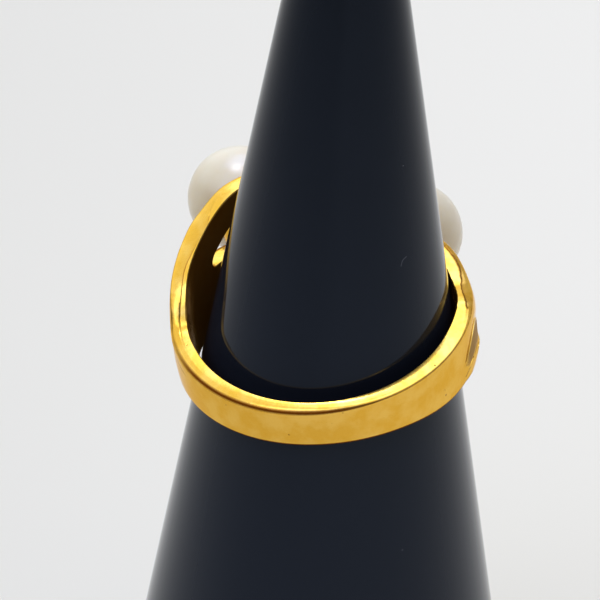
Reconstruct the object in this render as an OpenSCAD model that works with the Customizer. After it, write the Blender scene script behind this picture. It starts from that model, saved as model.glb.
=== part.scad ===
// Pearl ring on a display cone.
// Millimetres, +Z up. The origin is the middle of the cone's base, which stands on the table.
// The back of the ring's shank faces -Y and its head, with the two pearls, faces +Y.

/* [Shank] */
// Diameter of the finger hole
finger_d = 17.5; // [16:0.1:20]
// Width of the shank at its back
shank_w = 2.86; // [2:0.1:4]
// Thickness of the shank at its back
shank_t = 0.84; // [0.7:0.02:1]
// Thickness of the shoulders and strands at their edges
shoulder_t = 1.18; // [1:0.02:1.4]
// How far the strands are domed above their edges
strand_crown = 0.12; // [0.06:0.02:0.3]
// Rounding of the shank's outer edges at its back
edge_r = 0.11; // [0.05:0.01:0.15]
// How far the hole is drawn in at the head
head_squeeze = 0.32; // [0:0.02:0.4]
// How far the hole is drawn in at its sides
side_squeeze = 0.12; // [0:0.02:0.2]

/* [Pearls] */
// Diameter of each pearl
pearl_d = 7; // [6:0.05:8]
// Angle of each pearl from the middle of the head, seen along the finger
pearl_turn = 25.5; // [24:0.5:27]
// How far one pearl sits above the middle of the ring and the other below it
pearl_rise = 2.15; // [1.8:0.05:2.4]
// From the finger's axis to the middle of each pearl
pearl_reach = 13; // [12.9:0.05:13.3]
// Diameter of the peg that each pearl is fixed on
peg_d = 0.9; // [0.7:0.1:1.1]
// Width of the cup under each pearl
cup_d = 5.2; // [4.8:0.1:5.6]

/* [Cone] */
// Diameter of the cone's base
cone_d = 30; // [29:0.5:31]
// Height of the cone, with its rounded tip
cone_h = 72; // [66:1:76]
// Angle between the cone's side and its axis
cone_angle = 9.76; // [9.7:0.02:9.8]

/* [Place of the ring] */
// Height of the ring's middle above the base
ring_height = 40.9; // [40.9:0.1:42]
// How far the ring's back hangs down, in degrees
ring_pitch = 8.52; // [8:0.1:9]
// How far the ring's left side hangs down, in degrees
ring_lean = 8.18; // [8:0.1:9]

/* [Hidden] */

gold = [0.86, 0.66, 0.22];
pearl_white = [0.93, 0.90, 0.86];
cone_black = [0.12, 0.13, 0.16];

finger_r = finger_d / 2;
pearl_r = pearl_d / 2;
drill_play = 0.05;
drill_depth = 2.2;
seat_play = 0.03;
cup_foot = 8.75;
cup_depth = 1.2;
ring_shift = [-0.38, -0.20];
cone_r = cone_d / 2;
base_chamfer = 0.5;
curve_steps = 3;
inner_r = 0.06;
head_drop = 0.2;

// Angles run round the finger from the back of the shank, positive to the right, and heights run
// along the finger. Each row is one section of a strip of metal.
// Columns: angle, height of its middle, width, thickness, crown, rounding of its outer edges.
shank_rows = [for (a = [-88 : 8 : 88])
    let (
        side = pow(sin(a), 2),
        thick = shank_t + (shoulder_t - shank_t) * side - 0.05 * sin(a),
        top = shank_w / 2 + 0.2 * side,
        bottom = shank_w / 2 + 0.08 + 0.15 * side + 0.25 * pow(max(0, sin(a)), 2)
    )
    [a, (top - bottom) / 2, top + bottom, thick, 0.03, edge_r + 0.12 * pow(side, 3)]];

// The strand that crosses the head. Its start lies on the left shoulder and its end on the right one.
// The part between them is given up to the middle of the head, and its other half is the same after
// half a turn about that middle.
crossing_start = [
    [-78, 0.85, 1.30, shoulder_t - 0.14, 0.00, 0.20],
    [-86, 1.05, 1.60, shoulder_t - 0.08, 0.04, 0.25],
    [-94, 1.60, 2.35, shoulder_t + 0.01, strand_crown, 0.30],
    [-103, 2.70, 2.35, shoulder_t + 0.05, strand_crown, 0.32],
    [-112, 3.38, 2.30, shoulder_t + 0.10, strand_crown, 0.32]
];
crossing_half = [
    [-120, 4.03, 2.22, shoulder_t + 0.12, strand_crown, 0.32],
    [-128, 4.74, 2.12, shoulder_t + 0.12, strand_crown, 0.32],
    [-136, 5.32, 2.08, shoulder_t + 0.10, strand_crown, 0.32],
    [-144, 5.62, 2.06, shoulder_t + 0.06, strand_crown, 0.34],
    [-152, 5.58, 2.04, shoulder_t, strand_crown, 0.36],
    [-160, 5.15, 2.00, shoulder_t - 0.06, strand_crown, 0.40],
    [-167.5, 4.20, 1.95, shoulder_t - 0.12, strand_crown, 0.40],
    [-174.5, 2.25, 1.95, shoulder_t - 0.12, strand_crown, 0.40]
];
crossing_middle = [-180, 0, 2.00, shoulder_t - 0.12, strand_crown, 0.40];
crossing_end = [
    [-248, -3.38, 2.30, shoulder_t + 0.02, 0.10, 0.32],
    [-257, -2.65, 2.35, shoulder_t - 0.12, 0.08, 0.32],
    [-266, -1.60, 2.35, shoulder_t - 0.18, 0.07, 0.30],
    [-274, -1.05, 1.60, shoulder_t - 0.20, 0.04, 0.25],
    [-282, -0.85, 1.30, shoulder_t - 0.24, 0.00, 0.20]
];

// The inner strand of the left arm, from the shoulder, under the left pearl, to the crossing strand
left_inner_rows = [
    [-80, -0.75, 1.30, shoulder_t - 0.14, 0.00, 0.20],
    [-88, -0.50, 2.50, shoulder_t - 0.04, 0.04, 0.25],
    [-96, -0.27, 3.54, shoulder_t, strand_crown, 0.30],
    [-104, -0.12, 3.88, shoulder_t + 0.04, strand_crown, 0.30],
    [-112, 0.03, 4.04, shoulder_t + 0.08, strand_crown, 0.28],
    [-120, 0.07, 4.02, shoulder_t + 0.12, strand_crown, 0.25],
    [-128, 0.08, 3.88, shoulder_t + 0.12, strand_crown, 0.22],
    [-136, 0.06, 3.76, shoulder_t + 0.10, strand_crown, 0.22],
    [-142, -0.20, 3.30, shoulder_t + 0.06, strand_crown, 0.26],
    [-148, -0.60, 2.60, shoulder_t, strand_crown, 0.32],
    [-154, -0.95, 2.20, shoulder_t - 0.10, strand_crown, 0.38],
    [-161, -1.30, 2.00, shoulder_t - 0.12, strand_crown, 0.40],
    [-168, -1.60, 1.90, shoulder_t - 0.12, strand_crown, 0.40],
    [-176, -1.95, 1.80, shoulder_t - 0.15, strand_crown - 0.03, 0.40],
    [-184, -2.25, 1.60, shoulder_t - 0.18, strand_crown - 0.06, 0.40]
];

// The inner strand of the right arm, from the shoulder, over the right pearl, to the crossing strand
right_inner_rows = [
    [80, 0.95, 1.30, shoulder_t - 0.08, 0.00, 0.22],
    [88, 0.45, 2.40, shoulder_t - 0.03, 0.02, 0.24],
    [96, 0.00, 2.80, shoulder_t + 0.02, 0.05, 0.28],
    [104, -0.20, 3.10, shoulder_t + 0.12, 0.08, 0.34],
    [110, -0.10, 3.36, shoulder_t + 0.20, 0.08, 0.44],
    [116, 0.00, 3.66, shoulder_t + 0.24, strand_crown, 0.36],
    [124, 0.15, 3.80, shoulder_t + 0.22, strand_crown, 0.32],
    [132, 0.27, 3.50, shoulder_t + 0.14, strand_crown, 0.34],
    [140, 0.48, 2.86, shoulder_t + 0.04, strand_crown, 0.38],
    [148, 0.67, 2.36, shoulder_t - 0.06, strand_crown, 0.40],
    [156, 0.88, 2.08, shoulder_t - 0.12, strand_crown, 0.40],
    [163, 1.15, 2.00, shoulder_t - 0.12, strand_crown, 0.40],
    [170, 1.55, 1.90, shoulder_t - 0.12, strand_crown, 0.40],
    [177, 1.95, 1.80, shoulder_t - 0.15, strand_crown - 0.03, 0.40],
    [184, 2.25, 1.60, shoulder_t - 0.18, strand_crown - 0.06, 0.40]
];

// The web that closes the fork of an arm up to the round end of its slot
web_rows = [
    [-100, 1.60, 1.00, shoulder_t - 0.14, 0.00, 0.20],
    [-108, 1.95, 1.10, shoulder_t - 0.12, 0.00, 0.20],
    [-115, 2.18, 1.20, shoulder_t - 0.10, 0.00, 0.20],
    [-121, 2.35, 1.30, shoulder_t - 0.10, 0.00, 0.20]
];

// The same row after half a turn about the line through the middle of the head
function turned(row) = [-360 - row[0], -row[1], row[2], row[3], row[4], row[5]];
crossing_rows = concat(
    crossing_start,
    crossing_half,
    [crossing_middle],
    [for (i = [len(crossing_half) - 1 : -1 : 0]) turned(crossing_half[i])],
    crossing_end
);

// The radius of the finger hole, which is drawn in at its sides and a little more past the shoulders
function drawn_in(t) = t * t * (3 - 2 * t);
function hole_r(angle) =
    finger_r - side_squeeze * pow(sin(angle), 2)
    - head_squeeze * drawn_in(min(1, max(0, (180 - abs(180 - abs(angle)) - 80) / 60)));

// A smooth curve through the rows; s counts rows and its fraction lies between two of them
function between(rows, s) =
    let (
        last = len(rows) - 1,
        i = min(floor(s), last - 1),
        t = s - i,
        p0 = rows[max(i - 1, 0)],
        p1 = rows[i],
        p2 = rows[i + 1],
        p3 = rows[min(i + 2, last)]
    )
    p1 + (p2 - p0) * t / 2
    + (2 * p0 - 5 * p1 + 4 * p2 - p3) * t * t / 2
    + (3 * p1 - p0 - 3 * p2 + p3) * t * t * t / 2;

// The outline of a section: across the strip, and outwards from the finger
function outline(width, thick, crown, round) =
    let (
        half = width / 2,
        inset = half - round
    )
    concat(
        [[-half, inner_r], [inner_r - half, 0], [half - inner_r, 0], [half, inner_r]],
        [for (a = [0 : 30 : 90]) [inset + round * cos(a), thick - round * (1 - sin(a))]],
        [for (u = [0.5, 0, -0.5]) [inset * u, thick + crown * (1 - u * u)]],
        [for (a = [90 : 30 : 180]) [round * cos(a) - inset, thick - round * (1 - sin(a))]]
    );

// A point of a section, laid on the finger's cylinder and square to the strip's run
function on_finger(row, run, point) =
    let (
        angle = row[0] + point[0] * run[1] * 180 / (PI * finger_r),
        height = row[1] + point[0] * run[0],
        reach = hole_r(angle) + point[1]
    )
    [reach * sin(angle), -reach * cos(angle), height];

// The direction of the strip's run, as an arc length against the angle and a height
function run_at(rows, s) =
    let (
        last = len(rows) - 1,
        a = between(rows, max(s - 0.05, 0)),
        b = between(rows, min(s + 0.05, last)),
        step = [(a[0] - b[0]) * PI * finger_r / 180, b[1] - a[1]]
    )
    step / norm(step);

module strip(listed) {
    // The rows are taken with falling angles, so that the faces below look outwards
    rows = listed[0][0] > listed[1][0] ? listed : [for (i = [len(listed) - 1 : -1 : 0]) listed[i]];
    steps = (len(rows) - 1) * curve_steps;
    sections = [for (k = [0 : steps])
        let (
            row = between(rows, k / curve_steps),
            run = run_at(rows, k / curve_steps)
        )
        [for (point = outline(row[2], row[3], row[4], row[5])) on_finger(row, run, point)]];
    n = len(sections[0]);
    points = [for (section = sections) each section];
    sides = [for (k = [0 : steps - 1]) for (i = [0 : n - 1])
        let (
            j = (i + 1) % n,
            a = k * n + i,
            b = k * n + j,
            c = (k + 1) * n + j,
            d = (k + 1) * n + i
        )
        each [[a, b, c], [a, c, d]]];
    first_cap = [for (i = [1 : n - 2]) [0, i + 1, i]];
    far = steps * n;
    last_cap = [for (i = [1 : n - 2]) [far, far + i, far + i + 1]];
    polyhedron(points, concat(sides, first_cap, last_cap), convexity = 6);
}

// Puts what is drawn along +X at the place of a pearl: side is -1 for the left and 1 for the right
module at_pearl(side) {
    translate([0, 0, -side * pearl_rise - head_drop])
        rotate([0, 0, 90 - side * pearl_turn])
            children();
}

// Puts the ring on the cone
module placed() {
    translate([ring_shift[0], ring_shift[1], ring_height])
        rotate([ring_pitch, -ring_lean, 0])
            children();
}

module cup_and_peg() {
    peg_foot = cup_foot + 0.1;
    peg_tip = pearl_reach - pearl_r + drill_depth - drill_play;
    difference() {
        translate([cup_foot, 0, 0])
            rotate([0, 90, 0])
                cylinder(h = cup_depth, d = cup_d, $fn = 40);
        translate([pearl_reach, 0, 0])
            sphere(r = pearl_r + seat_play, $fn = 64);
    }
    translate([peg_foot, 0, 0])
        rotate([0, 90, 0])
            cylinder(h = peg_tip - peg_foot, d = peg_d, $fn = 20);
}

module ring_band() {
    color(gold) placed() {
        strip(shank_rows);
        strip(crossing_rows);
        strip(left_inner_rows);
        strip(right_inner_rows);
        for (turn = [0, 180]) rotate([0, turn, 0]) strip(web_rows);
        for (side = [-1, 1]) at_pearl(side) cup_and_peg();
    }
}

module pearl(side) {
    color(pearl_white) placed() at_pearl(side) difference() {
        translate([pearl_reach, 0, 0]) sphere(r = pearl_r, $fn = 64);
        translate([pearl_reach - pearl_r - 1, 0, 0])
            rotate([0, 90, 0])
                cylinder(h = 1 + drill_depth, d = peg_d + 2 * drill_play, $fn = 20);
    }
}

module pearl_left() {
    pearl(-1);
}

module pearl_right() {
    pearl(1);
}

// A plain cone with a rounded tip and a small chamfer round its base
module display_cone() {
    slope = tan(cone_angle);
    apex = cone_r / slope;
    // The ball that rounds the tip touches the side all round and reaches the full height
    tip_r = (apex - cone_h) / (1 / sin(cone_angle) - 1);
    tip_z = cone_h - tip_r;
    join_z = tip_z + tip_r * sin(cone_angle);
    color(cone_black) {
        cylinder(h = base_chamfer, r1 = cone_r - base_chamfer, r2 = cone_r - base_chamfer * slope, $fn = 96);
        translate([0, 0, base_chamfer])
            cylinder(h = join_z - base_chamfer, r1 = cone_r - base_chamfer * slope,
                     r2 = tip_r * cos(cone_angle), $fn = 96);
        translate([0, 0, tip_z]) sphere(r = tip_r, $fn = 64);
    }
}

ring_band();
pearl_left();
pearl_right();
display_cone();
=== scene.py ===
# Pearl ring on a plain black display cone, seen from behind the ring's shank
import math

import bmesh
import bpy
import numpy as np
from mathutils import Matrix, Vector, noise


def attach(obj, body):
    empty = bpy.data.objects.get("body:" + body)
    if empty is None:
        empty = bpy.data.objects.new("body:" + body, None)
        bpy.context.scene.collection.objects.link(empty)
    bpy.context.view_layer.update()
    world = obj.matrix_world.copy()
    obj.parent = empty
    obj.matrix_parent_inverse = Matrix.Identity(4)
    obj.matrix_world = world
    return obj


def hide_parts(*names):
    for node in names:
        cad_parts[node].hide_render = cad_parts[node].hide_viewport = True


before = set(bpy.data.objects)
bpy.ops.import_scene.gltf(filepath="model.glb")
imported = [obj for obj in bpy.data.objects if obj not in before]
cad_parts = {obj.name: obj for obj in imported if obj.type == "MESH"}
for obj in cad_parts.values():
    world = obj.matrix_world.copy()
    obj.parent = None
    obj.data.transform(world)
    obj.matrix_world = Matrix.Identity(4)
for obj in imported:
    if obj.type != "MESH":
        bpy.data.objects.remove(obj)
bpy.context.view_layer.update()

mm = 0.001
scene = bpy.context.scene
print("frame loaded:", ", ".join(sorted(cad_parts)))


# Camera
cameraSetup = {
    "aim": (-2.13, 0.0, 42.74),  # mm, what the middle of the picture looks at
    "distance": 200.0,  # mm
    "elevation": 32.0,  # degrees above the table
    "roll": 2.13,  # degrees
    "lens": 186.2,
    "sensor": 36.0,
    "clip": (0.01, 20.0),  # m
}


def makeCamera(setup):
    tilt = math.radians(setup["elevation"])
    roll = math.radians(setup["roll"])
    back = Vector((0, -math.cos(tilt), math.sin(tilt)))
    up = Vector((0, math.sin(tilt), math.cos(tilt)))
    right = Vector((1, 0, 0))
    across = right * math.cos(roll) + up * math.sin(roll)
    upward = up * math.cos(roll) - right * math.sin(roll)
    place = (Vector(setup["aim"]) + back * setup["distance"]) * mm
    data = bpy.data.cameras.new("camera")
    data.lens = setup["lens"]
    data.sensor_width = setup["sensor"]
    data.clip_start, data.clip_end = setup["clip"]
    camera = bpy.data.objects.new("camera", data)
    camera.matrix_world = Matrix.Translation(place) @ Matrix((across, upward, back)).transposed().to_4x4()
    scene.collection.objects.link(camera)
    scene.camera = camera


makeCamera(cameraSetup)
print("camera set")


# Small helpers for meshes
def smoothStep(start, end, value):
    part = min(1.0, max(0.0, (value - start) / (end - start)))
    return part * part * (3 - 2 * part)


# 1 between two smooth steps, each given by where it starts and ends
def plateau(value, rise, fall):
    return smoothStep(*rise, value) * (1 - smoothStep(*fall, value))


def mix(a, b, part):
    return a + (b - a) * part


class Builder:  # verts and faces of one piece, in mm
    def __init__(self):
        self.verts = []
        self.faces = []

    def add(self, points):
        first = len(self.verts)
        self.verts.extend(points)
        return list(range(first, len(self.verts)))

    def bridge(self, loopA, loopB):
        count = len(loopA)
        for i in range(count):
            j = (i + 1) % count
            self.faces.append((loopA[i], loopA[j], loopB[j], loopB[i]))

    def cap(self, loop):
        self.faces.append(tuple(loop))

    # turns (radius, height) points round the X axis of place; the ends lie on the axis
    def lathe(self, profile, segments, place):
        turns = [2 * math.pi * k / segments for k in range(segments)]
        rings = []
        for radius, along in profile:
            if radius < 1e-6:
                rings.append(self.add([place @ Vector((along, 0, 0))]))
                continue
            rings.append(self.add([
                place @ Vector((along, radius * math.cos(a), radius * math.sin(a))) for a in turns]))
        for low, high in zip(rings, rings[1:]):
            if len(low) == 1 or len(high) == 1:
                tip, ring = (low[0], high) if len(low) == 1 else (high[0], low)
                for k in range(segments):
                    self.faces.append((tip, ring[k], ring[(k + 1) % segments]))
            else:
                self.bridge(low, high)

    def finish(self, name, sharpAngle):
        mesh = bpy.data.meshes.new(name)
        mesh.from_pydata([Vector(v) * mm for v in self.verts], [], self.faces)
        work = bmesh.new()
        work.from_mesh(mesh)
        bmesh.ops.recalc_face_normals(work, faces=work.faces)
        work.to_mesh(mesh)
        work.free()
        mesh.shade_smooth()
        mesh.set_sharp_from_angle(angle=math.radians(sharpAngle))
        piece = bpy.data.objects.new(name, mesh)
        scene.collection.objects.link(piece)
        return piece


# The gold band, in mm. Angles run round the finger from the back of the shank, positive to the right.
band = {
    "fingerR": 8.75,
    "leftSqueeze": 0.06,  # how much nearer the finger's axis the hole's wall is at the sides and the head
    "rightSqueeze": 0.26,
    "headSqueeze": 0.32,
    "leftBulge": 0.12,  # how much thicker, on the finger's side, the left arm is behind the cone
    "leftLater": 18,  # degrees by which the left shoulder's recess starts nearer to the head
    "width": 2.86,
    "upperFlare": 0.20,  # how much the upper and the lower edge spread towards the sides
    "lowerFlare": 0.07,
    "lowerDrop": 0.24,  # how much lower the whole lower edge lies
    "thick": 0.74,
    "rightThinner": 0.05,
    "shoulder": 1.18,  # thickness
    "leafRaised": 0.12,  # how much thicker the right arm is below its recess
    "leafDepth": -0.06,  # of the right recess, whose floor stands up as a leaf
    "crown": 0.12,
    "armCrown": 0.10,
    "shankDome": 0.04,
    "forkAngle": 121,
    "slotEnd": 150,  # degrees up to which the slots' edges are drawn
    "slotEdge": 0.06,  # how far its edges round off at their start
    "slotRound": 0.45,
    "squareAfter": 1.8,  # mm past a fork where a strand is square to its run, and where its sides are plain
    "plainAfter": 3.2,
    "pitch": 8.52,
    "lean": 8.18,
    "place": (-0.38, -0.20, 40.9),
    "angleStep": 0.75,
    "strandStep": 0.2,
    "forkStep": 0.5,  # mm past a fork over which the steps are shorter
    "sharpAngle": 42,
}
# angle, height of the middle, width, thickness beyond the shoulder's
crossStart = [
    (-78, 0.85, 1.30, -0.14), (-86, 1.05, 1.60, -0.08), (-94, 1.60, 2.35, 0.03),
    (-103, 2.70, 2.35, 0.08), (-112, 3.38, 2.30, 0.15),
]
crossHalf = [
    (-120, 4.03, 2.22, 0.18), (-128, 4.74, 2.12, 0.17), (-136, 5.32, 2.08, 0.13),
    (-144, 5.62, 2.06, 0.06), (-152, 5.58, 2.04, 0.00), (-160, 5.15, 2.00, -0.06),
    (-167.5, 4.20, 1.95, -0.12), (-174.5, 2.25, 1.95, -0.12),
]
crossEnd = [
    (-248, -3.38, 2.30, 0.02), (-257, -2.65, 2.35, -0.06), (-266, -1.60, 2.35, -0.04),
    (-274, -1.05, 1.60, -0.04), (-282, -0.85, 1.30, -0.08),
]
crossing = np.array(
    crossStart + crossHalf + [(-180, 0, 2.00, -0.12)]
    + [(-360 - a, -z, w, t) for a, z, w, t in reversed(crossHalf)] + crossEnd, float)
leftInner = np.array([
    (-80, -0.75, 1.30, -0.14), (-88, -0.50, 2.50, -0.04), (-96, -0.27, 3.54, 0.00),
    (-104, -0.12, 3.88, 0.04), (-112, 0.03, 4.04, 0.08), (-120, 0.07, 4.02, 0.12),
    (-128, 0.08, 3.88, 0.12), (-136, 0.06, 3.76, 0.10), (-142, -0.20, 3.30, 0.06),
    (-148, -0.60, 2.60, 0.00), (-154, -0.95, 2.20, -0.10), (-161, -1.30, 2.00, -0.12),
    (-168, -1.60, 1.90, -0.12), (-176, -1.95, 1.80, -0.15), (-184, -2.25, 1.60, -0.18),
], float)
rightInner = np.array([
    (80, 0.95, 1.30, 0.00), (88, 0.45, 2.40, 0.04), (96, 0.00, 2.80, 0.08),
    (104, -0.20, 3.10, 0.15), (110, -0.10, 3.36, 0.20), (116, 0.02, 3.70, 0.24),
    (124, 0.20, 3.90, 0.22), (132, 0.34, 3.64, 0.14), (140, 0.50, 2.90, 0.04),
    (148, 0.67, 2.36, -0.06), (156, 0.88, 2.08, -0.12), (163, 1.15, 2.00, -0.12),
    (170, 1.55, 1.90, -0.12), (177, 1.95, 1.80, -0.15), (184, 2.25, 1.60, -0.18),
][::-1], float)
# The edges of the recess between the raised strands of the right shoulder: angle, height.
# The left shoulder has the same ones after half a turn.
recessUpper = [
    (0, 0.45), (40, 0.0), (56, -0.45), (65, -0.82), (67, -0.72), (69, -0.40), (73, 0.06), (77, 0.36),
    (82, 0.46), (86, 0.25), (90, -0.25), (95, -0.95), (102, -1.42),
]
recessLower = [
    (0, -0.45), (40, -0.65), (56, -0.72), (65, -1.02), (67, -1.18), (69, -1.32), (73, -1.40), (77, -1.46),
    (82, -1.62), (88, -1.95), (95, -2.12), (102, -2.28),
]
# How its floor sinks and its edges grow rounder: between which angles, and by how much
floorSinks = [((65, 70), 0.18), ((72, 90), 0.08), ((95, 118), 0.10)]
edgesGrow = [((64, 90), 0.08), ((95, 120), 0.12)]
# How much lower the band's lower edge is on the right: angle, depth
lowerRight = [(0, 0.0), (20, 0.09), (30, 0.19), (48, 0.50), (58, 0.62), (70, 0.62), (82, 0.54), (100, 0.50)]
# How wide the bright flat part of each arm's upper edge is: angle, width
flatWidths = {
    1: [(50, 0.70), (62, 0.85), (72, 0.94), (80, 0.84), (88, 0.70), (98, 0.62), (103, 0.84), (108, 1.04),
        (118, 1.08), (130, 0.80), (160, 0.80)],
    -1: [(50, 0.60), (72, 0.68), (86, 0.62), (95, 0.46), (106, 0.42), (112, 0.28), (124, 0.14), (160, 0.14)],
}
mmPerDegree = math.pi * band["fingerR"] / 180


def leftBulge(angle):
    return band["leftBulge"] * plateau(-angle, (104, 130), (142, 168))


def holeRadius(angle):
    fromBack = 180 - abs(180 - abs(angle))
    side = math.sin(math.radians(angle)) ** 2
    squeeze = band["rightSqueeze"] if math.sin(math.radians(angle)) > 0 else band["leftSqueeze"]
    squeeze = squeeze * side + band["headSqueeze"] * smoothStep(80, 140, fromBack)
    return band["fingerR"] - squeeze - leftBulge(angle)


def rowAt(rows, s):
    last = len(rows) - 1
    i = min(int(s), last - 1)
    t = s - i
    p0, p1, p2, p3 = rows[max(i - 1, 0)], rows[i], rows[i + 1], rows[min(i + 2, last)]
    return (p1 + (p2 - p0) * t / 2 + (2 * p0 - 5 * p1 + 4 * p2 - p3) * t * t / 2
            + (3 * p1 - p0 - 3 * p2 + p3) * t * t * t / 2)


# lower and upper edge of a strand, square to its run, as (angle, height)
def edgesAt(rows, s):
    a = rowAt(rows, max(s - 0.05, 0))
    b = rowAt(rows, min(s + 0.05, len(rows) - 1))
    run = np.array(((a[0] - b[0]) * mmPerDegree, b[1] - a[1]))
    run /= np.linalg.norm(run)
    row = rowAt(rows, s)
    out = np.array((run[1] / mmPerDegree, run[0])) * row[2] / 2
    return row[:2] - out, row[:2] + out


# one edge of a strand as heights over angles
def edgeLine(rows, upper, turn=0):
    points = [edgesAt(rows, s)[1 if upper else 0] for s in np.arange(0, len(rows) - 1, 0.1)]
    points = np.array(sorted((p[0] + turn, p[1]) for p in points))
    return lambda angle: float(np.interp(angle, points[:, 0], points[:, 1]))


# a smooth height line through given points
def smoothLine(points):
    points = sorted(points)
    xs = np.array([p[0] for p in points], float)
    ys = np.array([p[1] for p in points], float)
    slopes = np.gradient(ys, xs)

    def height(x):
        i = int(np.clip(np.searchsorted(xs, x) - 1, 0, len(xs) - 2))
        h = xs[i + 1] - xs[i]
        t = min(1.0, max(0.0, (x - xs[i]) / h))
        return float((2 * t ** 3 - 3 * t * t + 1) * ys[i] + (t ** 3 - 2 * t * t + t) * h * slopes[i]
                     + (3 * t * t - 2 * t ** 3) * ys[i + 1] + (t ** 3 - t * t) * h * slopes[i + 1])
    return height


lowerLine = smoothLine(lowerRight)
crossHigh = edgeLine(crossing[:14], True)
crossLow = edgeLine(crossing[:14], False)
crossHighRight = edgeLine(crossing[12:], True, 360)
crossLowRight = edgeLine(crossing[12:], False, 360)
leftHigh = edgeLine(leftInner, True)
leftLow = edgeLine(leftInner, False)
rightHigh = edgeLine(rightInner, True)
rightLow = edgeLine(rightInner, False)


def shankEdge(angle, upper):
    side = math.sin(math.radians(angle)) ** 2
    if upper:
        return band["width"] / 2 + band["upperFlare"] * side
    drop = lowerLine(angle) if angle > 0 else 0
    return -(band["width"] / 2 + band["lowerDrop"] + band["lowerFlare"] * side + drop)


def rawEdge(angle, upper):
    edge = shankEdge(angle, upper) if abs(angle) <= 88 else None
    if angle >= 80:
        strand = rightHigh(angle) if upper else crossLowRight(angle)
    elif angle <= -80:
        strand = crossHigh(angle) if upper else leftLow(angle)
    else:
        return edge
    if edge is None:
        return strand
    return max(edge, strand) if upper else min(edge, strand)


# the band's edge with the steps between shank and strands blurred over a few degrees
def blurredEdge(upper):
    step, reach, blur = 0.5, 12, 5.0
    angles = np.arange(-band["slotEnd"], band["slotEnd"] + step, step)
    raw = np.array([rawEdge(a, upper) for a in angles])
    kernel = np.exp(-(np.arange(-reach, reach + 1) / blur) ** 2)
    soft = np.convolve(np.pad(raw, reach, mode="edge"), kernel / kernel.sum(), mode="valid")
    return lambda angle: float(np.interp(angle, angles, soft))


bandTop = blurredEdge(True)
bandBottom = blurredEdge(False)
flatLines = {side: smoothLine(points) for side, points in flatWidths.items()}


def onLeft(points):
    later = band["leftLater"]
    return [(-a - later * plateau(a, (0, 60), (80, 118)), -z) for a, z in points]


slotAngles = range(112, band["slotEnd"] + 1, 4)  # where the recesses have become slots between the strands
slotUpper = {
    1: smoothLine(recessUpper + [(a, rightLow(a)) for a in slotAngles]),
    -1: smoothLine(onLeft(recessLower) + [(-a, crossLow(-a)) for a in slotAngles]),
}
slotLower = {
    1: smoothLine(recessLower + [(a, crossHighRight(a)) for a in slotAngles]),
    -1: smoothLine(onLeft(recessUpper) + [(-a, leftHigh(-a)) for a in slotAngles]),
}


def thickOf(rows, angle, turn=0):
    order = np.argsort(rows[:, 0])
    extra = float(np.interp(angle, rows[order, 0] + turn, rows[order, 3]))
    return band["shoulder"] + leftBulge(angle) + extra


def armThick(angle, upper):
    sine = math.sin(math.radians(angle))
    shank = band["thick"] + (band["shoulder"] - band["thick"]) * sine ** 2 - band["rightThinner"] * sine
    if angle > 0:
        strand = thickOf(rightInner, angle) if upper else thickOf(crossing, angle, 360)
    else:
        strand = thickOf(crossing, angle) if upper else thickOf(leftInner, angle)
    raised = 0 if upper else band["leafRaised"] * plateau(angle, (64, 72), (96, 112))
    return mix(shank, strand, smoothStep(82, 98, abs(angle))) + raised


def stepsAt(steps, angle):
    return sum(size * smoothStep(*span, angle) for span, size in steps)


def recessDepth(angle):
    a = abs(angle)
    if angle < 0:
        a -= band["leftLater"] * (1 - smoothStep(86, 108, a))
    leaf = band["leafDepth"] * smoothStep(64, 70, angle)
    return mix(stepsAt(floorSinks, a), leaf, plateau(angle, (60, 64), (90, 108)))


# One side of a strand, in mm and degrees. From the finger outwards it has a corner, which may be lifted, a
# wall that leans by tiltIn to tiltOut, and a rounded edge with a depth, a width across and a crease.
# A slot's side also has a ribbon, half of the floor between two edges. The rest is from 0 to 1: the groove,
# painted seam and facet shade and painted dark reflection line of an upper rim, the painted shadow along
# a lower one, and soft, which is 1 for any rim.
squareSide = {
    "corner": 0, "lift": 0, "tiltIn": 0, "tiltOut": 0, "depth": 0, "across": 0, "crease": 0, "ribbon": 0,
    "groove": 0, "seamAndFacetShade": 0, "line": 0, "under": 0, "soft": 0,
}
plainSide = {**squareSide, "corner": 0.07, "depth": 0.40, "across": 0.42, "lift": 0.03, "soft": 1}
rimShape = {
    "underCorner": 0.06,
    "underRound": 0.24,  # size of the lower rim's rounded edge, and what the shoulders add
    "underWider": 0.12,
    "leftTaper": 0.16,  # how much thinner the left arm's lower rim is
    "shankRound": (0.50, 0.16),  # size of the upper rim's rounded edge at the back and to the right of it
    "shankCorner": 0.07,
    "corner": 0.055,  # from here on at the shoulders
    "cornerRagged": 0.7,
    "lift": 0.16,
    "across": 0.40,
    "flareLift": 0.07,  # what the left arm takes off these two, and what it adds to the tilts
    "flareAcross": 0.12,
    "flareTilt": 6,
    "creases": (22, 28),  # degrees at the back and to the right of it, and at the shoulders
    "creaseWide": 30,
    "tiltsIn": (9, 1),
    "tiltInWide": 3,
    "tiltsOut": (22, 30),
    "tiltOutWide": 7,
    "ragged": 0.045,  # how far the seam along the flat part strays, in long and in short waves
    "raggedFine": 0.020,
    "raggedLeft": 0.5,
    # painted seam and facet shade on the left, the painted dark line's share on the right, and its breaks
    "seamShadeLeft": 0.35,
    "lineRight": 0.45,
    "lineBroken": 1.2,
}


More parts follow.
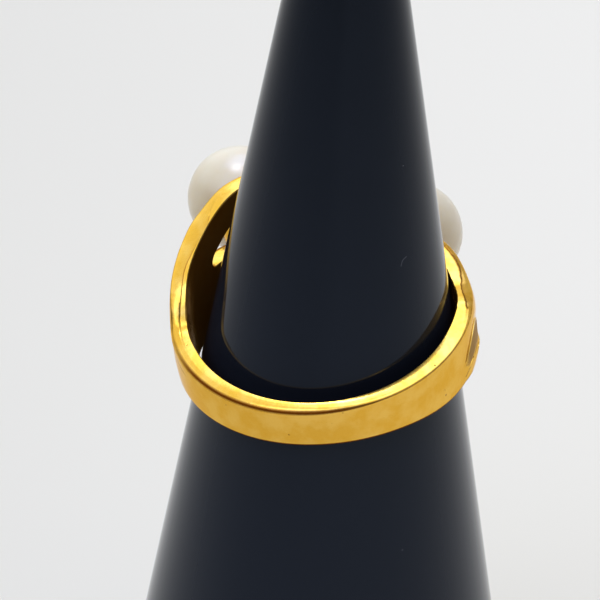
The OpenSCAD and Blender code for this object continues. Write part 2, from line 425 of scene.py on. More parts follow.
# The finished edge of an arm
def rimSide(angle, upper):
    r = rimShape
    a = abs(angle)
    wide = smoothStep(66, 92, a)
    if not upper:
        size = r["underRound"] + r["underWider"] * wide
        taper = -r["leftTaper"] * plateau(-angle, (66, 84), (116, 132))
        # a lower rim carries a painted shadow along its edge (under)
        return {**squareSide, "corner": r["underCorner"], "lift": taper, "depth": size, "across": size,
                "under": 1, "soft": 1}
    side = 1 if angle >= 0 else -1
    right = smoothStep(0, 26, angle)
    flare = smoothStep(78, 96, -angle)
    plain = mix(*r["shankRound"], smoothStep(-10, 26, angle))
    ragged = r["ragged"] * noise.noise((angle / 2.2, 3.1 * side, 0))
    ragged += r["raggedFine"] * noise.noise((angle / 0.7, 5.7, 0))
    ragged *= 1 - r["raggedLeft"] * smoothStep(60, 80, -angle)
    strip = armThick(angle, True) - flatLines[side](a) - ragged
    # painted dark reflection line under the rim's outer edge
    line = mix(1.0, r["lineRight"], smoothStep(5, 32, angle)) * plateau(angle, (-90, -56), (84, 100))
    line *= 1 + r["lineBroken"] * smoothStep(62, 70, angle) * noise.noise((angle / 1.1, 9.3, 0))
    tiltIn = mix(*r["tiltsIn"], smoothStep(6, 26, angle))
    tiltOut = mix(*r["tiltsOut"], right)
    crease = mix(*r["creases"], right)
    extra = r["flareTilt"] * flare
    return {
        **squareSide,
        "corner": mix(r["shankCorner"], r["corner"] + r["cornerRagged"] * ragged, wide),
        "lift": (r["lift"] - r["flareLift"] * flare) * wide,
        "tiltIn": mix(tiltIn, r["tiltInWide"] + extra, smoothStep(30, 70, a)),
        "tiltOut": mix(tiltOut, r["tiltOutWide"] + extra, smoothStep(25, 75, a)),
        "depth": mix(plain, strip, wide),
        "across": mix(plain, r["across"] - r["flareAcross"] * flare, wide),
        "crease": mix(crease, r["creaseWide"], smoothStep(60, 84, a)),
        "groove": wide,
        # painted shade in the seam's groove and on the rim's outer facet
        "seamAndFacetShade": wide * (1 if side > 0 else r["seamShadeLeft"]),
        "line": line,
        "soft": 1,
    }


# An edge of the recess or of the slot that it runs into
def slotSide(angle, upper):
    side = 1 if angle >= 0 else -1
    halfGap = (slotUpper[side](angle) - slotLower[side](angle)) / 2
    floor = min(armThick(angle, True), armThick(angle, False)) - recessDepth(angle)
    return {**squareSide, "ribbon": halfGap, "depth": armThick(angle, upper) - floor,
            "across": band["slotEdge"] + stepsAt(edgesGrow, abs(angle))}


innerCount = 10  # points across the finger's side, along a side and over a strand's back
sideCount = 17
humpCount = 10
wallSteps = (0, 0.12, 0.35, 0.6, 0.74, 0.83, 0.915, 1)  # a side's first points, up its wall
grooveAt = 6  # the side point in the groove
footAt = 7  # the side point at the foot of the rounded edge
floorSteps = 3  # a slot's points from there across its floor
slotTurn = 18  # degrees between the points of a slot's rounded edge
grooveDeep = 0.035
# How much of the painted dark reflection line and of the painted seam and facet shade the points of an upper
# rim take
rimShades = {
    5: (0, 0.45), 6: (0, 0.85), 7: (0, 0.60), 8: (0, 0.35), 9: (0, 0.30), 10: (0, 0.22),
    11: (0.7, 0.1), 12: (1, 0), 13: (1, 0), 14: (0.5, 0),
}
underShadowPoints = range(5, 16)  # the points of a lower rim with a painted shadow along its edge
paintedWallDark = -0.85  # painted dark reflection of the black cone on the finger's side; 0 is clean gold


# (outward, height) points from the finger's side of an edge up to the strand's back
def sidePoints(side, thick):
    ribbon, depth, across = side["ribbon"], side["depth"], side["across"]
    crease = math.radians(side["crease"])
    tiltIn, tiltOut = math.tan(math.radians(side["tiltIn"])), math.tan(math.radians(side["tiltOut"]))
    foot = thick - depth
    start = max(side["corner"], 0.03) + side["lift"]
    wall = foot - start
    points = []
    for k, u in enumerate(wallSteps):
        fall = wall * (tiltIn * u + (tiltOut - tiltIn) * u * u / 2)
        notch = side["groove"] * grooveDeep if k == grooveAt else 0
        points.append((ribbon - fall - notch, start + wall * u))
    fall = wall * (tiltIn + tiltOut) / 2
    for k in range(footAt + 1, sideCount):
        a = mix(crease, math.pi / 2, (k - footAt) / (sideCount - 1 - footAt))
        rim = (-fall - across * (math.cos(crease) - math.cos(a)) / math.cos(crease),
               foot + depth * (math.sin(a) - math.sin(crease)) / (1 - math.sin(crease)))
        past = k - footAt - floorSteps
        if past < 0:
            slot = (-ribbon * past / floorSteps, foot)
        else:
            b = math.radians(slotTurn * past)
            slot = (-across * (1 - math.cos(b)), foot + depth * math.sin(b))
        points.append((mix(slot[0], rim[0], side["soft"]), mix(slot[1], rim[1], side["soft"])))
    return points


# one closed section of a strand between its edges, as lists of 3-D points
def strandSection(low, high, thick, crown, lowSide, highSide, dome=None):
    low = np.array(low, float)
    high = np.array(high, float)
    step = high - low
    length = math.hypot(step[0] * mmPerDegree, step[1])

    def place(x, h, shade=0.0):
        angle, height = low + step * (x / length)
        if dome is not None and h > 0:
            middle, half, rise = dome
            h += rise * max(0.0, 1 - ((height - middle) / half) ** 2) * min(1.0, h / thick)
        reach = holeRadius(angle) + h
        turn = math.radians(angle)
        return (reach * math.sin(turn), -reach * math.cos(turn), height, shade)

    first = lowSide["corner"] - lowSide["ribbon"]
    last = length + highSide["ribbon"] - highSide["corner"]
    inner = []
    for k in range(innerCount):
        part = k / (innerCount - 1)
        # painted dark reflection on the finger's side wall
        inner.append(place(mix(first, last, part), mix(lowSide["lift"], highSide["lift"], part), paintedWallDark))
    highFlat = sidePoints(highSide, thick)
    lowFlat = sidePoints(lowSide, thick)
    highPoints = []
    for k, (out, h) in enumerate(highFlat):
        # painted dark reflection line and painted seam and facet shade of this rim point
        lineShare, seamShadeShare = rimShades.get(k, (0, 0))
        shade = -lineShare * highSide["line"] - seamShadeShare * highSide["seamAndFacetShade"]
        highPoints.append(place(length + out, h, shade))
    lowPoints = []
    for k, (out, h) in enumerate(lowFlat):
        # painted shadow along the lower rim's edge
        lowPoints.append(place(-out, h, -lowSide["under"] * (k in underShadowPoints)))
    humpHigh = length + highFlat[-1][0]
    humpLow = -lowFlat[-1][0]
    hump = []
    for k in range(1, humpCount + 1):
        v = 1 - 2 * k / (humpCount + 1)
        hump.append(place(mix(humpLow, humpHigh, (v + 1) / 2), thick + crown * (1 - v * v)))
    return {"inner": inner, "high": highPoints, "hump": hump, "low": lowPoints}


def armSections(angle):
    side = 1 if angle >= 0 else -1
    top, bottom = bandTop(angle), bandBottom(angle)
    upperEdge, lowerEdge = slotUpper[side](angle), slotLower[side](angle)
    flat = 1 - smoothStep(64, 100, abs(angle))
    crown = band["armCrown"] * smoothStep(64, 104, abs(angle))
    dome = ((top + bottom) / 2, (top - bottom) / 2, band["shankDome"] * flat)
    upper = strandSection((angle, upperEdge), (angle, top), armThick(angle, True), crown,
                          slotSide(angle, True), rimSide(angle, True), dome)
    lower = strandSection((angle, bottom), (angle, lowerEdge), armThick(angle, False), crown,
                          rimSide(angle, False), slotSide(angle, False), dome)
    return upper, lower


# the shank and both shoulders; returns the open loops of the four strands
def buildArms(build):
    fork = band["forkAngle"]
    steps = round(2 * fork / band["angleStep"])
    loops = []
    for k in range(steps + 1):
        upper, lower = armSections(-fork + 2 * fork * k / steps)
        loops.append(build.add(
            upper["inner"] + upper["high"] + upper["hump"] + upper["low"][:footAt - 1:-1]
            + lower["high"][footAt + 1:] + lower["hump"] + lower["low"][::-1] + lower["inner"][:-1]))
        if k:
            build.bridge(loops[-2], loops[-1])
    ends = {}
    upperCount = innerCount + sideCount + humpCount + sideCount - footAt
    for side, loop, section in ((-1, loops[0], armSections(-fork)), (1, loops[-1], armSections(fork))):
        crotch = build.add(section[0]["low"][:footAt])
        ends[side, "upper"] = loop[:upperCount] + crotch[::-1]
        lowerInner = loop[-(innerCount - 1):] + [loop[0]]
        rest = loop[upperCount - 1:-(innerCount - 1)]
        ends[side, "lower"] = lowerInner + crotch + rest
    return ends


def blendSides(a, b, part):
    return {key: mix(a[key], b[key], part) for key in a}


# places along a strand, closer together at the round ends of the slots
def stationsOf(rows, start, end, forks):
    ss = np.linspace(start, end, 400)
    points = np.array([rowAt(rows, s)[:2] * (mmPerDegree, 1) for s in ss])
    lengths = np.concatenate(([0], np.cumsum(np.linalg.norm(np.diff(points, axis=0), axis=1))))
    near = [band["forkStep"] * (1 - math.cos(math.radians(15 * k))) for k in range(1, 7)]
    first = near if "start" in forks else []
    last = [lengths[-1] - d for d in reversed(near)] if "end" in forks else []
    middleStart = first[-1] if first else 0
    middleEnd = last[0] if last else lengths[-1]
    count = max(2, round((middleEnd - middleStart) / band["strandStep"]))
    middle = list(np.linspace(middleStart, middleEnd, count + 1))
    if first:
        middle = middle[1:]
    if last:
        middle = middle[:-1]
    return np.interp(first + middle + last, lengths, ss)


# the place in the rows where a strand passes an angle
def positionAt(rows, angle):
    ss = np.linspace(0, len(rows) - 1, 2000)
    angles = np.array([rowAt(rows, s)[0] for s in ss])
    return float(ss[np.argmin(abs(angles - angle))])


# a section of a strand past a fork; upperAt gives whether it is the fork's upper strand
def strandLoop(build, rows, s, upperAt):
    row = rowAt(rows, s)
    low, high = edgesAt(rows, s)
    angle = row[0]
    armAngle = angle if angle > -180 else angle + 360
    side = 1 if armAngle > 0 else -1
    past = (abs(armAngle) - band["forkAngle"]) * mmPerDegree
    square = smoothStep(0, band["squareAfter"], past)
    plain = smoothStep(0, band["plainAfter"], past)
    thick = band["shoulder"] + row[3] + leftBulge(angle)
    crown = band["crown"]
    lowSide = plainSide
    highSide = plainSide
    if past < band["plainAfter"]:
        upper = upperAt(side)
        cut = min(abs(armAngle), band["slotEnd"]) * side
        slot, rim = slotSide(cut, upper), rimSide(cut, upper)
        left = 1 - min(1.0, max(0.0, past) / band["slotRound"])
        opened = math.sqrt(max(0.0, 1 - left ** 2))
        slot["ribbon"] = max(0.012, slot["ribbon"] * (1 - opened)) * (1 - square)
        slot["corner"] = plainSide["corner"] * opened
        edges = (slotUpper[side](cut), bandTop(cut)) if upper else (bandBottom(cut), slotLower[side](cut))
        low = mix(np.array((angle, edges[0])), low, square)
        high = mix(np.array((angle, edges[1])), high, square)
        thick = mix(armThick(cut, upper), thick, square)
        crown = mix(band["armCrown"], crown, plain)
        slot = blendSides(slot, plainSide, plain)
        rim = blendSides(rim, plainSide, plain)
        lowSide, highSide = (slot, rim) if upper else (rim, slot)
    section = strandSection(low, high, thick, crown, lowSide, highSide)
    return build.add(section["inner"] + section["high"] + section["hump"] + section["low"][::-1])


def buildStrand(build, rows, startLoop, start, end, forks, upperAt, endLoop=None):
    stations = stationsOf(rows, start, end, forks)
    previous = startLoop
    if endLoop is not None:
        stations = stations[:-1]
    for s in stations:
        loop = strandLoop(build, rows, s, upperAt)
        build.bridge(previous, loop)
        previous = loop
    if endLoop is not None:
        build.bridge(previous, endLoop)
    else:
        build.cap(previous)


# The pearls and the cups under them, in mm
pearlSetup = {
    "radius": 3.5,
    "turn": 25.5,  # degrees from the middle of the head
    "rise": 2.15,
    "drop": 0.2,
    "reach": 13.0,  # from the finger's axis to a pearl's middle
    "pegR": 0.45,
    "pegChamfer": 0.08,
    "holeR": 0.5,
    "holeDepth": 2.2,
    "holeSpare": 0.05,  # between the peg's tip and the hole's bottom
    "cupR": 2.6,
    "cupFoot": 8.75,
    "cupTop": 9.95,
    "footRound": 0.35,
    "lipRound": 0.14,
    "seat": 3.53,
    "segments": 128,
    "cupSegments": 72,
    "rings": 72,
    "bump": 0.012,  # how far a real pearl leaves the round
    "sharpAngle": 50,
}
ringPlace = (Matrix.Translation(band["place"])
             @ Matrix.Rotation(math.radians(-band["lean"]), 4, "Y")
             @ Matrix.Rotation(math.radians(band["pitch"]), 4, "X"))


def pearlPlace(side):
    return (Matrix.Translation((0, 0, -side * pearlSetup["rise"] - pearlSetup["drop"]))
            @ Matrix.Rotation(math.radians(90 - side * pearlSetup["turn"]), 4, "Z"))


def cupProfile():
    p = pearlSetup
    foot, lip, chamfer = p["footRound"], p["lipRound"], p["pegChamfer"]
    points = [(0, p["cupFoot"]), (p["cupR"] - foot, p["cupFoot"])]
    points += [(p["cupR"] - foot * (1 - math.sin(a)), p["cupFoot"] + foot * (1 - math.cos(a)))
               for a in np.radians((30, 60, 90))]
    points += [(p["cupR"] - lip * (1 - math.cos(a)), p["cupTop"] - lip * (1 - math.sin(a)))
               for a in np.radians((0, 30, 60, 90))]
    edge = math.sqrt(p["seat"] ** 2 - (p["reach"] - p["cupTop"]) ** 2)
    points.append((edge + 0.06, p["cupTop"]))
    points += [(r, p["reach"] - math.sqrt(p["seat"] ** 2 - r * r))
               for r in np.linspace(edge - 0.02, p["pegR"] + 0.02, 7)]
    tip = p["reach"] - p["radius"] + p["holeDepth"] - p["holeSpare"]
    points += [(p["pegR"], p["reach"] - p["seat"] + 0.1), (p["pegR"], tip - chamfer)]
    points += [(p["pegR"] - chamfer, tip), (0, tip)]
    return points


def pearlProfile():
    p = pearlSetup
    mouth = math.asin(p["holeR"] / p["radius"])
    bottom = p["reach"] - p["radius"] + p["holeDepth"]
    skin = p["reach"] - p["radius"] * math.cos(mouth)
    points = [(0, bottom), (p["holeR"], bottom), (p["holeR"], skin + 0.03)]
    for k in range(p["rings"] + 1):
        a = mix(mouth + 0.012, math.pi, k / p["rings"])
        radius = p["radius"] * math.sin(a)
        points.append((radius if k < p["rings"] else 0, p["reach"] - p["radius"] * math.cos(a)))
    return points


# painted shade of a point, up to 1 in a shoulder's recess, or painted dark reflection and shadow, down to -1
# on lines, seams and the finger's side
def shadeAt(point):
    if len(point) > 3 and point[3]:
        return point[3]
    angle = math.degrees(math.atan2(point[0], -point[1]))
    side = 1 if angle >= 0 else -1
    # painted shade on the floor of a shoulder's recess
    started = plateau(abs(angle), (64, 72), (112, 120))
    if not started or math.hypot(point[0], point[1]) < holeRadius(angle) + 0.3:
        return 0.0
    inside = min(slotUpper[side](angle) - point[2], point[2] - slotLower[side](angle))
    return started * smoothStep(0.05, 0.16, inside)


def buildRing():
    build = Builder()
    ends = buildArms(build)
    fork = band["forkAngle"]
    start = positionAt(crossing, -fork)
    end = positionAt(crossing, fork - 360)
    buildStrand(build, crossing, ends[-1, "upper"], start, end, ("start", "end"), lambda side: side < 0,
                ends[1, "lower"])
    start = positionAt(leftInner, -fork)
    buildStrand(build, leftInner, ends[-1, "lower"], start, len(leftInner) - 1, ("start",),
                lambda side: False)
    start = positionAt(rightInner, fork)
    buildStrand(build, rightInner, ends[1, "upper"], start, 0, ("start",), lambda side: True)
    for side in (-1, 1):
        build.lathe(cupProfile(), pearlSetup["cupSegments"], pearlPlace(side))
    shades = [shadeAt(v) for v in build.verts]
    build.verts = [ringPlace @ Vector(v[:3]) for v in build.verts]
    piece = build.finish("goldBand", band["sharpAngle"])
    piece.data.attributes.new("shade", "FLOAT", "POINT").data.foreach_set("value", shades)
    return piece


ringPiece = buildRing()
print("gold band built:", len(ringPiece.data.polygons), "faces")


def buildPearl(name, side, seed):
    build = Builder()
    build.lathe(pearlProfile(), pearlSetup["segments"], pearlPlace(side))
    middle = pearlPlace(side) @ Vector((pearlSetup["reach"], 0, 0))
    for k, v in enumerate(build.verts):
        out = v - middle
        if out.length > pearlSetup["radius"] - 0.02:
            swell = noise.noise(out / 3.2 + Vector((seed, 0, 0)))
            swell += 0.35 * noise.noise(out / 1.1 + Vector((0, seed, 0)))
            v = v + out.normalized() * (swell * pearlSetup["bump"])
        build.verts[k] = ringPlace @ v
    return build.finish(name, pearlSetup["sharpAngle"])


pearlPieces = {-1: buildPearl("pearlLeft", -1, 4.0), 1: buildPearl("pearlRight", 1, 9.0)}
print("pearls built")


# The display cone, in mm
coneSetup = {
    "baseR": 15.0,
    "height": 72.0,
    "angle": 9.76,  # degrees between its side and its axis
    "chamfer": 0.5,
    "segments": 256,
    "sideSteps": 60,
    "tipSteps": 12,
    "sharpAngle": 40,
}


def coneProfile():
    c = coneSetup
    slope = math.tan(math.radians(c["angle"]))
    sine = math.sin(math.radians(c["angle"]))
    apex = c["baseR"] / slope
    tipR = (apex - c["height"]) / (1 / sine - 1)
    tipZ = c["height"] - tipR
    joinZ = tipZ + tipR * sine
    points = [(0, 0), (c["baseR"] - c["chamfer"], 0)]
    for a in np.radians((20, 45, 70, 90)):
        height = c["chamfer"] * (1 - math.cos(a))
        points.append((c["baseR"] - c["chamfer"] * (1 - math.sin(a)) - height * slope, height))
    for k in range(1, c["sideSteps"] + 1):
        height = mix(c["chamfer"], joinZ, k / c["sideSteps"])
        points.append(((apex - height) * slope, height))
    for k in range(1, c["tipSteps"] + 1):
        a = mix(math.radians(c["angle"]), math.pi / 2, k / c["tipSteps"])
        points.append((tipR * math.cos(a) if k < c["tipSteps"] else 0, tipZ + tipR * math.sin(a)))
    return points


def buildCone():
    build = Builder()
    upright = Matrix.Rotation(math.radians(-90), 4, "Y")
    build.lathe(coneProfile(), coneSetup["segments"], upright)
    return build.finish("displayCone", coneSetup["sharpAngle"])


conePiece = buildCone()
print("cone built")


# Materials
def newGroup(name, inputs, outputs):
    group = bpy.data.node_groups.new(name, "ShaderNodeTree")
    for label, kind, value in inputs:
        socket = group.interface.new_socket(name=label, in_out="INPUT", socket_type=kind)
        if value is not None:
            socket.default_value = value
    for label, kind in outputs:
        group.interface.new_socket(name=label, in_out="OUTPUT", socket_type=kind)
    return group, group.nodes.new("NodeGroupInput"), group.nodes.new("NodeGroupOutput")


def setInputs(tree, node, values):
    for key, value in values.items():
        if isinstance(value, bpy.types.NodeSocket):
            tree.links.new(value, node.inputs[key])
        else:
            node.inputs[key].default_value = value


def addNode(tree, kind, settings=None, values=None):
    node = tree.nodes.new(kind)
    for key, value in (settings or {}).items():
        setattr(node, key, value)
    setInputs(tree, node, values or {})
    return node


def mathOf(tree, operation, first, second, third=None, clamp=False):
    values = {0: first, 1: second}
    if third is not None:
        values[2] = third
    return addNode(tree, "ShaderNodeMath", {"operation": operation, "use_clamp": clamp}, values).outputs[0]


def vectorOf(tree, operation, first, second, output="Vector"):
    node = addNode(tree, "ShaderNodeVectorMath", {"operation": operation}, {0: first, 1: second})
    return node.outputs[output]


def scaled(tree, vector, factor):
    node = addNode(tree, "ShaderNodeVectorMath", {"operation": "SCALE"}, {0: vector, "Scale": factor})
    return node.outputs["Vector"]


def mapRange(tree, value, start, end, low, high, kind="SMOOTHSTEP"):
    return addNode(tree, "ShaderNodeMapRange", {"interpolation_type": kind}, {
        "Value": value, "From Min": start, "From Max": end, "To Min": low, "To Max": high}).outputs["Result"]


def objectPlace(tree):
    return addNode(tree, "ShaderNodeTexCoord").outputs["Object"]


# soft uneven patches, 0 to 1
def makeMottleGroup():
    group, gin, gout = newGroup(
        "softMottle",
        [("Size", "NodeSocketFloat", 1.0), ("Contrast", "NodeSocketFloat", 1.0)],
        [("Patches", "NodeSocketFloat")])
    where = objectPlace(group)
    cells = mathOf(group, "DIVIDE", 1 / mm, gin.outputs["Size"])
    cloud = addNode(group, "ShaderNodeTexNoise", None, {
        "Vector": where, "Scale": cells, "Detail": 4.0, "Roughness": 0.55})
    centred = mathOf(group, "SUBTRACT", cloud.outputs["Fac"], 0.5)
    spread = mathOf(group, "MULTIPLY_ADD", centred, gin.outputs["Contrast"], 0.5, clamp=True)
    group.links.new(spread, gout.inputs["Patches"])
    return group


# sparse small dots, such as pits in metal or dust: a mask from 0 to 1
def makeSpeckGroup():
    group, gin, gout = newGroup(
        "fineSpecks",
        [("Spacing", "NodeSocketFloat", 1.0), ("Radius", "NodeSocketFloat", 0.1),
         ("Share", "NodeSocketFloat", 0.5)],
        [("Specks", "NodeSocketFloat")])
    where = objectPlace(group)
    cells = mathOf(group, "DIVIDE", 1 / mm, gin.outputs["Spacing"])
    dots = addNode(group, "ShaderNodeTexVoronoi", {"feature": "F1"}, {"Vector": where, "Scale": cells})
    parts = addNode(group, "ShaderNodeSeparateColor", None, {"Color": dots.outputs["Color"]})
    chosen = mathOf(group, "LESS_THAN", parts.outputs["Red"], gin.outputs["Share"])
    reach = mathOf(group, "MULTIPLY", gin.outputs["Radius"], parts.outputs["Green"])
    near = mapRange(group, dots.outputs["Distance"], 0.0, reach, 1.0, 0.0)
    group.links.new(mathOf(group, "MULTIPLY", near, chosen), gout.inputs["Specks"])
    return group


# one pit or scratch along a line: a mask from 0 to 1
def makeMarkGroup():
    group, gin, gout = newGroup(
        "singleMark",
        [("Start", "NodeSocketVector", None), ("Run", "NodeSocketVector", None),
         ("Run Squared", "NodeSocketFloat", 1.0), ("Half Width", "NodeSocketFloat", 0.0001)],
        [("Mark", "NodeSocketFloat")])
    away = vectorOf(group, "SUBTRACT", objectPlace(group), gin.outputs["Start"])
    along = vectorOf(group, "DOT_PRODUCT", away, gin.outputs["Run"], "Value")
    part = mathOf(group, "DIVIDE", along, gin.outputs["Run Squared"], clamp=True)
    nearest = scaled(group, gin.outputs["Run"], part)
    gap = vectorOf(group, "DISTANCE", away, nearest, "Value")
    mask = mapRange(group, gap, 0.0, gin.outputs["Half Width"], 1.0, 0.0)
    group.links.new(mask, gout.inputs["Mark"])
    return group


mottleGroup = makeMottleGroup()
speckGroup = makeSpeckGroup()
markGroup = makeMarkGroup()


def newMaterial(name):
    material = bpy.data.materials.new(name)
    material.use_nodes = True
    tree = material.node_tree
    return material, tree, tree.nodes["Principled BSDF"]


def placeGroup(tree, group, values):
    return addNode(tree, "ShaderNodeGroup", {"node_tree": group}, values).outputs[0]


# each colour is a socket or three numbers
def mixColours(tree, factor, first, second):
    first, second = ((*c, 1) if isinstance(c, tuple) else c for c in (first, second))
    node = addNode(tree, "ShaderNodeMix", {"data_type": "RGBA"}, {"Factor": factor, 6: first, 7: second})
    return node.outputs[2]


def bumpOf(tree, height, strength, distance, under=None, inward=False):
    values = {"Height": height, "Strength": strength, "Distance": distance}
    if under is not None:
        values["Normal"] = under
    return addNode(tree, "ShaderNodeBump", {"invert": inward}, values).outputs["Normal"]


# a place on the ring's metal, from its angle, its height and how far beyond the finger's hole it is
def onRing(angle, height, beyond):
    reach = holeRadius(angle) + beyond
    turn = math.radians(angle)
    return ringPlace @ Vector((reach * math.sin(turn), -reach * math.cos(turn), height))


# Pits in the metal: their place on the ring, and their radius in mm
ringPits = [
    (-14.8, -0.69, 0.82, 0.07), (-40.4, 0.60, 0.99, 0.07), (-74.2, 1.59, 0.44, 0.07),
    (6.8, 0.97, 0.76, 0.06), (-5.2, 1.14, 0.67, 0.06), (51.2, -1.34, 1.00, 0.12),
    (-62.6, 1.17, 1.12, 0.08), (50.9, -0.87, 1.00, 0.06),
]
# A dark streak below the right recess, as places on the ring, and its half width in mm
streak = [(75.6, -1.44, 1.19), (69.2, -1.52, 1.19), (65.8, -1.81, 1.09)]
streakHalf = 0.05
# Marks: start, end and half width in mm
ringMarks = [(onRing(*pit[:3]), onRing(*pit[:3]), pit[3]) for pit in ringPits]
ringMarks += [(onRing(*a), onRing(*b), streakHalf) for a, b in zip(streak, streak[1:])]
coneMarks = [
    (Vector((4.05, -5.23, 48.76)), Vector((4.13, -5.10, 49.10)), 0.035),
    (Vector((4.13, -5.10, 49.10)), Vector((4.36, -4.86, 49.24)), 0.035),
    (Vector((3.87, -3.93, 55.14)), Vector((3.90, -3.90, 55.15)), 0.05),
    (Vector((-8.08, -4.79, 32.61)), Vector((-8.08, -4.79, 32.61)), 0.05),
]


# the larger of a mask and of the marks' own masks
def addMarks(tree, mask, marks):
    for start, end, size in marks:
        run = (end - start) * mm
        near = placeGroup(tree, markGroup, {
            "Start": start * mm, "Run": run, "Run Squared": max(run.length_squared, 1e-12),
            "Half Width": size * mm})
        mask = mathOf(tree, "MAXIMUM", mask, near)
    return mask


# Sizes and radii of patches and specks are in mm; a bump is its strength and its depth in m
goldLook = {
    "warm": (0.75, 0.405, 0.038),
    "pale": (0.83, 0.505, 0.095),
    "broadPatches": {"Size": 1.3, "Contrast": 4.5},
    "broadShare": 0.75,
    "finePatches": {"Size": 0.22, "Contrast": 1.8},
    "fineShare": 0.3,
    "specks": {"Spacing": 0.9, "Radius": 0.11, "Share": 0.4},
    "recessShade": (0.36, 0.20, 0.06),  # painted shade in the shoulders' recesses
    "paintedDark": (0.200, 0.050, 0.003),  # painted dark reflection and shadow: the lines along the rims and the lower edge, the seams, and the wall on the finger's side
    "recessShadeDulls": 0.85,  # how much less metallic these two are
    "paintedDarkDulls": 0.6,
    "edge": (1.0, 0.86, 0.60),
    "pit": (0.25, 0.09, 0.015),
    "roughLow": 0.11,
    "roughHigh": 0.20,
    "waves": (0.35, 0.00002),
    "grain": (0.25, 0.000004),
    "dents": (0.8, 0.00003),
}


def makeGold(look):
    material, tree, shader = newMaterial("polishedGold")
    broad = placeGroup(tree, mottleGroup, look["broadPatches"])
    fine = placeGroup(tree, mottleGroup, look["finePatches"])
    pits = placeGroup(tree, speckGroup, look["specks"])
    blotches = mathOf(tree, "MULTIPLY", broad, look["broadShare"])
    blotches = mathOf(tree, "MULTIPLY_ADD", fine, look["fineShare"], blotches, clamp=True)
    colour = mixColours(tree, blotches, look["warm"], look["pale"])
    pits = addMarks(tree, pits, ringMarks)
    colour = mixColours(tree, pits, colour, look["pit"])
    # painted shade in the recesses, and painted dark reflections and shadows on lines, seams and the
    # finger's side
    shade = addNode(tree, "ShaderNodeAttribute", {"attribute_name": "shade"}).outputs["Fac"]
    recessShadeMask = mathOf(tree, "MAXIMUM", shade, 0.0)
    paintedDark = mathOf(tree, "MULTIPLY", shade, -1.0, clamp=True)
    colour = mixColours(tree, recessShadeMask, colour, look["recessShade"])
    colour = mixColours(tree, paintedDark, colour, look["paintedDark"])
    metal = mathOf(tree, "MULTIPLY_ADD", recessShadeMask, -look["recessShadeDulls"], 1.0)
    metal = mathOf(tree, "MULTIPLY_ADD", paintedDark, -look["paintedDarkDulls"], metal)
    waves = bumpOf(tree, broad, *look["waves"])
    grain = bumpOf(tree, fine, *look["grain"], waves)
    setInputs(tree, shader, {
        "Base Color": colour,
        "Metallic": metal,
        "Roughness": mapRange(tree, fine, 0, 1, look["roughLow"], look["roughHigh"], "LINEAR"),
        "Normal": bumpOf(tree, pits, *look["dents"], grain, inward=True),
        "Specular IOR Level": 0.0,
        "Specular Tint": (*look["edge"], 1),
    })
    return material


pearlLook = {
    "cream": (0.552, 0.450, 0.275),
    "white": (0.605, 0.512, 0.333),
    "patches": {"Size": 2.4, "Contrast": 1.8},
    "skinPatches": {"Size": 0.35, "Contrast": 1.2},
    "roughLow": 0.26,
    "roughHigh": 0.36,
    "skin": (0.3, 0.000006),
    "ior": 1.6,
    "coat": 0.55,
    "coatRough": 0.22,
    "depth": 0.8,  # how much light goes under the skin, how far in m, and how far each colour goes
    "depthScale": 0.0025,
    "depthColours": (1.0, 0.8, 0.6),
}


def makePearl(look):
    material, tree, shader = newMaterial("pearlNacre")
    patches = placeGroup(tree, mottleGroup, look["patches"])
    tiny = placeGroup(tree, mottleGroup, look["skinPatches"])
    setInputs(tree, shader, {
        "Base Color": mixColours(tree, patches, look["cream"], look["white"]),
        "Roughness": mapRange(tree, tiny, 0, 1, look["roughLow"], look["roughHigh"], "LINEAR"),
        "Normal": bumpOf(tree, tiny, *look["skin"]),
        "IOR": look["ior"],
        "Coat Weight": look["coat"],
        "Coat Roughness": look["coatRough"],
        "Subsurface Weight": look["depth"],
        "Subsurface Radius": look["depthColours"],
        "Subsurface Scale": look["depthScale"],
    })
    return material


coneLook = {
    "black": (0.0014, 0.0024, 0.0042),
    "lowerTone": (0.0080, 0.0102, 0.0148),
    "lowerToneFull": 0.036,  # m above the table, where the paler lower part is full and where it ends
    "lowerToneEnd": 0.066,
    "lowerToneMost": 0.9,
    "lowerToneLeast": 0.1,
    "patches": {"Size": 9.0, "Contrast": 1.6},
    "patchShare": 0.2,
    "dust": (0.10, 0.10, 0.11),
    "specks": {"Spacing": 4.0, "Radius": 0.035, "Share": 0.3},
    "grainPatches": {"Size": 0.4, "Contrast": 1.4},
    "grain": (0.12, 0.00001),
    "roughLow": 0.05,
    "roughHigh": 0.08,
    "gloss": 0.18,
    "glossTint": (0.66, 0.78, 1.0),
}


def makeConeBlack(look):
    material, tree, shader = newMaterial("satinBlack")
    patches = placeGroup(tree, mottleGroup, look["patches"])
    dust = placeGroup(tree, speckGroup, look["specks"])
    dust = addMarks(tree, dust, coneMarks)
    height = addNode(tree, "ShaderNodeSeparateXYZ", None, {0: objectPlace(tree)}).outputs["Z"]
    # paler towards the bottom
    lowerShare = mapRange(
        tree, height, look["lowerToneFull"], look["lowerToneEnd"], look["lowerToneMost"], look["lowerToneLeast"], "LINEAR")
    uneven = mathOf(tree, "MULTIPLY_ADD", patches, look["patchShare"], lowerShare, clamp=True)
    colour = mixColours(tree, uneven, look["black"], look["lowerTone"])
    grain = placeGroup(tree, mottleGroup, look["grainPatches"])
    setInputs(tree, shader, {
        "Base Color": mixColours(tree, dust, colour, look["dust"]),
        "Roughness": mapRange(tree, grain, 0, 1, look["roughLow"], look["roughHigh"], "LINEAR"),
        "Normal": bumpOf(tree, grain, *look["grain"]),
        "Specular IOR Level": look["gloss"],
        "Specular Tint": (*look["glossTint"], 1),
    })
    return material


ringPiece.data.materials.append(makeGold(goldLook))
pearlMaterial = makePearl(pearlLook)
for piece in pearlPieces.values():
    piece.data.materials.append(pearlMaterial)
conePiece.data.materials.append(makeConeBlack(coneLook))
print("materials made")


